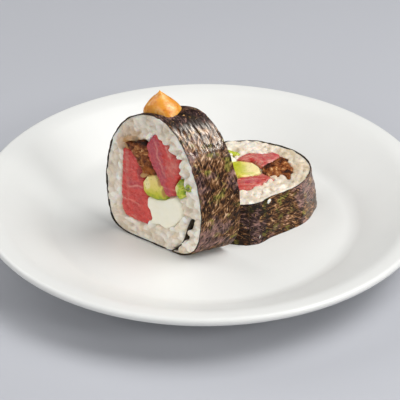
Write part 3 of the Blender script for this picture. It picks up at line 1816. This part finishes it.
@dataclass
class Filling:
    """One filling, from cut to cut: its node's body with a soft skin and its own relief."""

    home: SliceFrame
    node: str
    kind: Kind
    seed: int
    grain: float = 0.0  # the way the flesh runs, in degrees in the section
    swell: float = 0.24  # closes the frame's clearance to what is beside it
    additions: tuple[Body, ...] = ()
    flake: float = 4.6  # how thick tuna's flakes are
    spots: tuple[Spot, ...] = ()
    rounds: int = 4  # how often the skin is evened out
    avocado_waves: Relief = Relief((5, 5, 9), 0.14, 3)
    cheese_lumps: Relief = Relief(4.2, 0.34, 3)
    cheese_grain: Relief = Relief(1.2, 0.06, shift=4)
    mushroom_folds: Relief = Relief((2.4, 2.4, 6.0), 2.0, 3)
    mushroom_height: float = 0.5
    mushroom_sunk: float = 0.15
    leaf_waves: Relief = Relief(1.8, 0.3, 3)
    tuna_warp: Relief = Relief((9, 9, 14), 2.6)
    tuna_breaks: Relief = Relief(5.0, 1.0, shift=3)
    tuna_ridges: Relief = Relief((4.0, 4.0, 10.0), 0.2, 3, shift=6)
    tuna_strands: Relief = Relief((1.7, 1.7, 9.0), 0.5, shift=8)
    strands_sunk: float = 0.1
    seam_band: Pair = (0.80, 1.0)  # where a flake's seam starts and is whole
    break_band: Pair = (-0.2, 0.3)  # where a seam fades out along its way
    seam_depth: float = 0.14
    seam_paleness: float = 0.6

    def relief(self, points: Array) -> tuple[Array, dict[str, Array]]:
        """The heights that the skin moves by, and the fields that the finish reads.

        Args:
            points: the skin's corners in section millimetres.

        Returns:
            Heights in millimetres, and the fields by name.
        """
        if self.kind is Kind.TUNA:
            return self.flakes(points)
        if self.kind is Kind.AVOCADO:
            return self.avocado_waves.at(points, self.seed), {"skin": self.towards_skin(points)}
        if self.kind is Kind.CHEESE:
            lumps = self.cheese_lumps.at(points, self.seed)
            return lumps + self.cheese_grain.at(points, self.seed), {}
        if self.kind is Kind.MUSHROOM:
            folds = 1 - np.abs(self.mushroom_folds.at(points, self.seed))
            return folds * self.mushroom_height - self.mushroom_sunk, {"fold": folds}
        return self.leaf_waves.at(points, self.seed), {}

    def across(self, points: Array, turn: float = 0) -> Array:
        """How far each point is across the way that the flesh runs, or along it at a turn of 90."""
        angle = math.radians(self.grain + turn)
        return points[:, 1] * math.cos(angle) - points[:, 0] * math.sin(angle)

    def flakes(self, points: Array) -> tuple[Array, dict[str, Array]]:
        """Tuna's relief: flakes with a groove and a pale seam between each two.

        Args:
            points: the skin's corners in section millimetres.

        Returns:
            Heights in millimetres, and the fields by name.
        """
        place = (self.across(points) + self.tuna_warp.at(points, self.seed)) / self.flake
        near = np.abs(place - np.round(place)) * 2
        broken = self.tuna_breaks.at(points, self.seed)
        seam = soft_step(near, *self.seam_band) * soft_step(broken, *self.break_band)
        ridges = self.tuna_ridges.at(points, self.seed)
        ridges += np.abs(self.tuna_strands.at(points, self.seed)) - self.strands_sunk
        along = self.across(points, 90)
        flesh = np.stack([along, place * self.flake, points[:, 2]], axis=1)
        return ridges - seam * self.seam_depth, {"seam": seam * self.seam_paleness, "flesh": flesh}

    def towards_skin(self, points: Array) -> Array:
        """How far avocado's corners are from the stone towards the skin.

        Args:
            points: the skin's corners in section millimetres.

        Returns:
            0 by the stone to 1 by the skin, for each corner.
        """
        across = self.across(points)
        low, high = np.percentile(across, [1, 99])
        return np.clip((across - low) / (high - low), 0, 1)

    def build(self) -> None:
        """Makes the skin and dresses it."""
        slot, cell = self.kind.value
        bodies = [self.home.node_body(self.node), *self.additions]
        skin, points = voxel_skin(bodies, cell, self.rounds)
        set_corners(skin, points)
        height, fields = self.relief(points)
        points = points + normals_of(skin) * (height + self.swell)[:, None]
        set_corners(skin, self.home.to_row(points))
        made = add_object(f"{self.home.name}_{self.node}_cut", skin)
        set_fields(skin, {"section": points, **looks_at(points, self.spots, self.seed), **fields})
        place_piece(made, slot, f"{self.home.name}_{self.node}")


# ---- the sauce


@dataclass
class SauceDollop:
    """A piped dollop with a soft twist and a leaning tip, seated on the standing slice."""

    home: StandingFrame
    sheet: NoriSheet
    middle: float = 15.9
    depth: float = 7.6
    oval: float = 0.84  # its foot's depth, as a share of its width
    base: float = 57.5
    base_rings: tuple[float, ...] = (0.05, 3.5, 6.6)
    base_rounding: float = 0.8
    seat: float = 62.6
    profile: tuple[Pair, ...] = (
        (8.0, 0), (7.9, 1.0), (6.9, 3.0), (5.0, 5.0), (3.1, 6.4), (1.5, 7.7), (0.5, 8.6),
    )
    profile_samples: int = 7
    tip: float = 9.2
    tip_radius: float = 0.05
    tip_lean: float = -1.9
    tip_set_back: float = 0.3
    lobes: int = 3
    lobe_depth: float = 0.04
    twist: float = 0.35
    segments: int = 96
    squareness: float = 0.8  # how square its foot is
    front: float = -1.7  # it ends this far behind the front cut
    ease: float = 0.9  # how softly it turns into that end
    sunk: float = 0.35  # how deep its foot lies in the sheet
    skin: Relief = Relief(4.0, 0.16, 3)
    seed: int = 77

    def shape(self) -> Body:
        """The turned body.

        Returns:
            Corners in section millimetres, and four-sided faces.
        """
        corners = [(r, self.seat + h) for r, h in self.profile]
        corners.append((self.tip_radius, self.seat + self.tip))
        curve = catmull_rom(np.array(corners), self.profile_samples)
        under = [(r, self.base) for r in self.base_rings]
        under.append((self.profile[0][0], self.base + self.base_rounding))
        return lathe(np.vstack([under, curve]), self.segments)

    def seated(self, points: Array) -> Array:
        """Lifts what lies deep in the roll up to just under the sheet's surface.

        Args:
            points: the corners in section millimetres.

        Returns:
            The moved corners.
        """
        upper = self.sheet.outline[self.sheet.outline[:, 1] > self.home.centre[1]]
        order = np.argsort(upper[:, 0])
        surface = np.interp(points[:, 0], upper[order, 0], upper[order, 1]) - self.sunk
        raised = points.copy()
        raised[:, 1] = np.maximum(points[:, 1], surface)
        return raised

    def piped(self, turned: Array) -> Array:
        """Gives the turned body its square foot, its lobes, its twist and its leaning tip.

        Args:
            turned: the corners about an upright axis.

        Returns:
            The corners in section millimetres.
        """
        along, across, height = turned.T
        rise = np.maximum(0, height - self.seat)
        up = rise / self.tip
        angle = np.arctan2(across, along)
        corner = (np.abs(np.cos(angle)) ** 3 + np.abs(np.sin(angle)) ** 3) ** (-1 / 3) - 1
        swell = 1 + self.lobe_depth * np.cos(self.lobes * angle + self.twist * rise)
        swell += self.squareness * corner * (1 - up)
        forward = self.depth - across * swell * self.oval
        back = -self.ease * np.logaddexp(forward / self.ease, -self.front / self.ease)
        back -= self.tip_set_back * up**2
        slant = self.home.skew * back / self.home.thickness
        sideways = along * swell + self.tip_lean * up**2 + self.middle + slant
        return self.seated(np.stack([sideways, height, back], axis=1))

    def build(self) -> None:
        """Turns the dollop, pipes it into shape and sets it down."""
        turned, faces = self.shape()
        points = self.piped(turned)
        ends = [list(range(self.segments)), list(range(len(points) - self.segments, len(points)))]
        made = make_object("sauce_dollop", points, faces.tolist() + [ends[0], ends[1][::-1]])
        points += normals_of(made.data) * self.skin.at(points, self.seed)[:, None]
        set_fields(made.data, {"section": points})
        set_corners(made.data, self.home.to_row(points))
        place_piece(made, Slot.SAUCE, "sauce")


# ---- crumbs


@dataclass(frozen=True)
class Crumb:
    """A bit of rice that stuck to a slice's sheet when it was cut."""

    name: str
    travelled: float  # where it is along the sheet
    depth: float  # where it is behind the front cut, negative
    size: Triple
    turn: float
    tan: float
    seed: int
    shade: float = 0.9
    standing_out: float = 0.25  # how far its middle is from the sheet, as a share of its height
    lumps: Relief = Relief(1.0, 0.35)
    coarseness: float = 3.0
    columns: int = 14
    rings: int = 10

    def build(self, home: SliceFrame, sheet: NoriSheet) -> None:
        """Shapes the bit and presses it onto the sheet.

        Args:
            home: the slice's frame.
            sheet: the slice's sheet.
        """
        shape, faces = pebble(self.columns, self.rings)
        lumps = self.lumps.at(shape * self.coarseness, self.seed)
        shape = shape * (1 + lumps)[:, None] * self.size
        cos, sin = math.cos(self.turn), math.sin(self.turn)
        along, across = shape[:, 0] * cos - shape[:, 1] * sin, shape[:, 0] * sin + shape[:, 1] * cos
        place = int(np.argmin(np.abs(sheet.travelled - self.travelled)))
        outward = sheet.outward[place]
        flat = sheet.outline[place] + along[:, None] * (-outward[1], outward[0])
        flat = flat + outward * (shape[:, 2] + self.size[2] * self.standing_out)[:, None]
        points = np.hstack([flat, (self.depth + across)[:, None]])
        made = make_object(self.name, home.to_row(points), faces)
        even = np.ones(len(points))
        fields = {"section": points, "shade": even * self.shade, Look.TINT.value: even * self.tan}
        set_fields(made.data, fields)
        place_piece(made, Slot.RICE)


# ---- the slices


@dataclass
class Slice:
    """One slice: its sheet, its rice and its fillings."""

    home: SliceFrame
    seed: int
    tail: tuple[Pair, ...]  # the line of the sheet's tucked end
    tail_widths: tuple[float, ...]
    bands: tuple[Band, ...]
    fillings: tuple[Filling, ...]
    stains: tuple[Spot, ...]
    grainy_back: bool
    sink: Pair
    skim: float
    rounds: int

    def build(self) -> NoriSheet:
        """Builds the slice from the outside in.

        Returns:
            The sheet, which the sauce or the crumbs sit on.
        """
        sheet = NoriSheet(self.home, self.tail, self.tail_widths, self.bands, self.seed)
        sheet.build()
        rice = RiceMass(
            home=self.home,
            sheet=sheet,
            fillings=tuple(filling.node for filling in self.fillings),
            grainy_back=self.grainy_back,
            seed=self.seed + 1,
            spots=self.stains,
            sink=self.sink,
            skim=self.skim,
            rounds=self.rounds,
        )
        rice.build()
        for filling in self.fillings:
            filling.build()
        return sheet


def standing_slice() -> Slice:
    """The slice that stands on its side.

    Returns:
        The slice, not built yet.
    """
    home = StandingFrame("standing", 15.5, (15.6, 31.0))
    dark, light, tint = Look
    shine, toast, plum = SheetLook
    left = (
        Spot(dark, (9.0, 36.0), (1.4, 6.0), 0.7),
        Spot(tint, (6.0, 27.0), (4.0, 2.0), 0.5),
        Spot(dark, (4.0, 44.6), (3.0, 1.6), 0.7),
        Spot(light, (2.2, 33.0), (0.8, 16.0), 0.4),
    )
    right = (
        Spot(tint, (16.8, 50.0), (3.4, 6.0), 0.9),
        Spot(tint, (18.6, 43.0), (3.4, 6.0), 0.9),
        Spot(tint, (21.0, 36.0), (3.0, 6.0), 0.9),
        Spot(tint, (23.6, 29.0), (2.6, 4.0), 0.7),
        Spot(light, (26.5, 45.0), (3.0, 7.0), 0.4),
    )
    avocado = (
        Spot(light, (12.6, 30.0), (1.6, 3.0), 0.6),
        Spot(tint, (12.4, 34.6), (2.2, 1.0), 0.8),
        Spot(tint, (19.2, 34.0), (1.1, 3.0), 0.8),
        Spot(tint, (21.6, 29.0), (1.1, 3.4), 0.8),
    )
    mushroom = (
        Spot(dark, (8.0, 49.6), (8.0, 1.6)),
        Spot(light, (9.8, 44.2), (3.4, 3.0), 0.8),
        Spot(dark, (18.0, 39.5), (3.0, 3.6), 0.8),
        Spot(tint, (14.0, 36.6), (3.4, 3.2), 0.55),
    )
    greens = (
        Spot(dark, (31.0, 36.6), (2.0, 1.0), 0.6),
        Spot(light, (28.6, 33.5), (1.2, 3.0), 0.8),
        Spot(dark, (34.9, 35.2), (1.8, 2.2), 0.5),
    )
    stains = (
        Spot(tint, (5.0, 51.8), (7.0, 3.4), 0.45),
        Spot(tint, (0.5, 46.0), (3.5, 4.0), 0.55),
        Spot(tint, (8.0, 47.6), (8.0, 3.6), 0.8),
        Spot(tint, (11.9, 34.6), (3.4, 3.4), 2.4),
        Spot(tint, (2.6, 45.4), (3.0, 3.4), 1.2),
        Spot(dark, (12.0, 4.0), (22.0, 5.0), 0.35),
        Spot(dark, (12.0, 59.0), (16.0, 4.0), 0.35),
    )
    bands = (
        Band(shine, 76.0, 7.0),
        Band(toast, 92.0, 9.5),
        Band(plum, 28.0, 12.0),
        Band(plum, 96.0, 7.0, 0.8),
    )
    ring = (
        (31.0, 33.4), (32.4, 33.7), (33.6, 34.1), (34.9, 34.1), (36.0, 35.0), (36.1, 36.3),
        (35.2, 36.9), (34.2, 36.3), (34.0, 35.3),
    )
    onion = bent_strip(catmull_rom(np.array(ring), 5), half=0.24, low=-2.0, high=0.45)
    fillings = (
        Filling(home, "tuna_left", Kind.TUNA, 111, grain=-8.0, flake=7.5, spots=left),
        Filling(home, "tuna_right", Kind.TUNA, 121, grain=112.0, flake=5.4, spots=right),
        Filling(home, "greens", Kind.GREENS, 131, additions=(onion,), spots=greens),
        Filling(home, "avocado", Kind.AVOCADO, 141, grain=192.0, spots=avocado),
        Filling(home, "cheese", Kind.CHEESE, 151),
        Filling(home, "mushroom", Kind.MUSHROOM, 161, spots=mushroom),
    )
    return Slice(
        home,
        seed=11,
        tail=((25.2, 0.3), (29.5, 4.6), (32.6, 9.6), (34.4, 15.2), (36.1, 20.6)),
        tail_widths=(0.5, 0.25, 0.35, 0.8, 0.1),
        bands=bands,
        fillings=fillings,
        stains=stains,
        grainy_back=True,
        sink=(0.4, 1.2),
        skim=0.32,
        rounds=3,
    )


def lying_slice() -> Slice:
    """The slice that lies on a cut face.

    Returns:
        The slice, not built yet.
    """
    home = LyingFrame("lying", 19.2, (19.0, 7.0))
    dark, light, tint = Look
    shine, toast, plum = SheetLook
    middle, everywhere = (22.0, 9.0), (60.0, 60.0)
    dim = Spot(dark, middle, everywhere, 0.42)
    far = (Spot(light, middle, everywhere, 0.6), dim, Spot(tint, (29.0, 19.0), (6.0, 5.0), 0.6))
    near = (Spot(light, middle, everywhere, 0.4), dim, Spot(tint, (21.0, -1.0), (4.0, 2.5), 0.8))
    avocado = (
        Spot(light, middle, (5.0, 8.0), 0.55),
        Spot(dark, (15.4, 10.0), (3.4, 5.0), 0.5),
        Spot(dark, (19.0, 5.6), (4.0, 1.2), 0.4),
    )
    mushroom = (
        Spot(light, (33.0, 9.0), (9.0, 6.0), 0.3),
        Spot(light, (31.4, 8.2), (2.6, 2.0), 0.8),
        Spot(dark, (28.0, 11.6), (3.0, 2.2)),
        Spot(dark, (37.6, 6.0), (2.4, 1.4)),
        Spot(light, (36.0, 12.0), (2.2, 1.6), 0.6),
    )
    stains = (
        Spot(tint, (33.0, 9.0), (9.0, 5.5), 0.35),
        Spot(dark, (19.0, 8.0), everywhere, 0.42),
        Spot(dark, (41.0, 12.0), (8.0, 24.0)),
        Spot(dark, (20.0, -14.0), (30.0, 6.0), 0.6),
    )
    bands = (
        Band(toast, 173.0, 11.0, 0.8),
        Band(toast, 3.0, 8.0, 0.8),
        Band(plum, 38.0, 10.0),
        Band(plum, 12.0, 16.0, 0.6),
        Band(shine, 38.0, 8.0, 0.5),
    )
    fillings = (
        Filling(home, "tuna_far", Kind.TUNA, 123, grain=10.0, spots=far),
        Filling(home, "tuna_near", Kind.TUNA, 133, grain=5.0, spots=near),
        Filling(home, "greens", Kind.GREENS, 143),
        Filling(home, "avocado", Kind.AVOCADO, 153, grain=90.0, spots=avocado),
        Filling(home, "cheese", Kind.CHEESE, 163),
        Filling(home, "mushroom", Kind.MUSHROOM, 173, spots=mushroom),
    )
    return Slice(
        home,
        seed=23,
        tail=((-6.9, 21.6), (-2.6, 21.6), (1.6, 22.4), (5.4, 25.0), (8.6, 28.6)),
        tail_widths=(0.9, 0.5, 0.5, 0.8, 0.4),
        bands=bands,
        fillings=fillings,
        stains=stains,
        grainy_back=False,
        sink=(0.4, 1.1),
        skim=0.45,
        rounds=8,
    )


def crumbs() -> tuple[Crumb, ...]:
    """The few bits on the lying slice's sheet.

    Returns:
        The bits, not built yet.
    """
    return (
        Crumb("crumb_of_rice", 10.2, -1.3, (2.4, 1.5, 1.0), turn=0.5, tan=0.1, seed=5),
        Crumb("shred_of_rice", 4.1, -16.0, (1.5, 0.5, 0.5), turn=1.2, tan=0.5, seed=7),
    )


# ---- the studio


@dataclass(frozen=True)
class SoftLight:
    """A square soft box that looks at the plate."""

    name: str
    round_from_front: float  # degrees, towards the right
    above: float  # degrees over the table
    size: float
    power: float
    distance: float = 1.1

    def build(self) -> None:
        """Hangs the light and aims it."""
        lamp = bpy.data.lights.new(self.name, "AREA")
        lamp.shape = "SQUARE"
        lamp.size = self.size
        lamp.energy = self.power
        hung = bpy.data.objects.new(self.name, lamp)
        turn, rise = math.radians(self.round_from_front), math.radians(self.above)
        flat = math.cos(rise)
        direction = Vector((math.sin(turn) * flat, -math.cos(turn) * flat, math.sin(rise)))
        hung.location = direction * self.distance
        hung.rotation_mode = "QUATERNION"
        hung.rotation_quaternion = (-direction).to_track_quat("-Z", "Y")
        bpy.context.scene.collection.objects.link(hung)


@dataclass
class Studio:
    """The table, the lights and the camera, in metres."""

    table_size: float = 6.0
    sky: Colour = (0.60, 0.76, 1.0)
    sky_strength: float = 0.03
    eye: Triple = (0.0, -0.5556, 0.3593)
    target: Triple = (-0.0021, -0.0109, 0.022)
    lens: float = 132.0
    film_width: float = 36.0
    roll: float = -0.0044
    lights: tuple[SoftLight, ...] = (
        SoftLight("key_from_the_right", 75, 50, 0.45, 3.2),
        SoftLight("key_from_above", 90, 60, 0.7, 7.7),
        SoftLight("window_by_the_right", 46, 30, 0.28, 3.2),
        SoftLight("fill_from_the_front", 315, 27, 0.7, 4.0),
        SoftLight("fill_from_the_left", 240, 38, 0.8, 4.4),
    )

    def build(self) -> None:
        """Sets the studio up."""
        scene = bpy.context.scene
        scene.view_settings.view_transform = "Standard"
        world = bpy.data.worlds.new("soft_room")
        world.use_nodes = True
        background = world.node_tree.nodes["Background"]
        background.inputs["Color"].default_value = (*self.sky, 1)
        background.inputs["Strength"].default_value = self.sky_strength
        scene.world = world
        for light in self.lights:
            light.build()
        self.table()
        self.camera()

    def table(self) -> None:
        """Lays the table that the plate stands on."""
        half = self.table_size / 2
        corners = np.array([[-half, -half, 0], [half, -half, 0], [half, half, 0], [-half, half, 0]])
        made = make_object("table", corners, [[0, 1, 2, 3]])
        made.data.materials.append(TableFinish().make("matt_table"))

    def camera(self) -> None:
        """Places the camera."""
        lens = bpy.data.cameras.new("camera")
        lens.lens = self.lens
        lens.sensor_width = self.film_width
        made = bpy.data.objects.new("camera", lens)
        made.location = self.eye
        way = Vector(self.target) - Vector(self.eye)
        made.rotation_mode = "QUATERNION"
        level = way.to_track_quat("-Z", "Y")
        made.rotation_quaternion = level @ Quaternion((0, 0, 1), self.roll)
        bpy.context.scene.collection.objects.link(made)
        bpy.context.scene.camera = made


def main() -> None:
    """Builds everything in order."""
    logging.basicConfig(level=logging.INFO, format="%(name)s: %(message)s")
    Studio().build()
    Plate().build()
    standing = standing_slice()
    sheet = standing.build()
    SauceDollop(standing.home, sheet).build()
    lying = lying_slice()
    sheet = lying.build()
    for crumb in crumbs():
        crumb.build(lying.home, sheet)


if __name__ == "__main__":
    main()
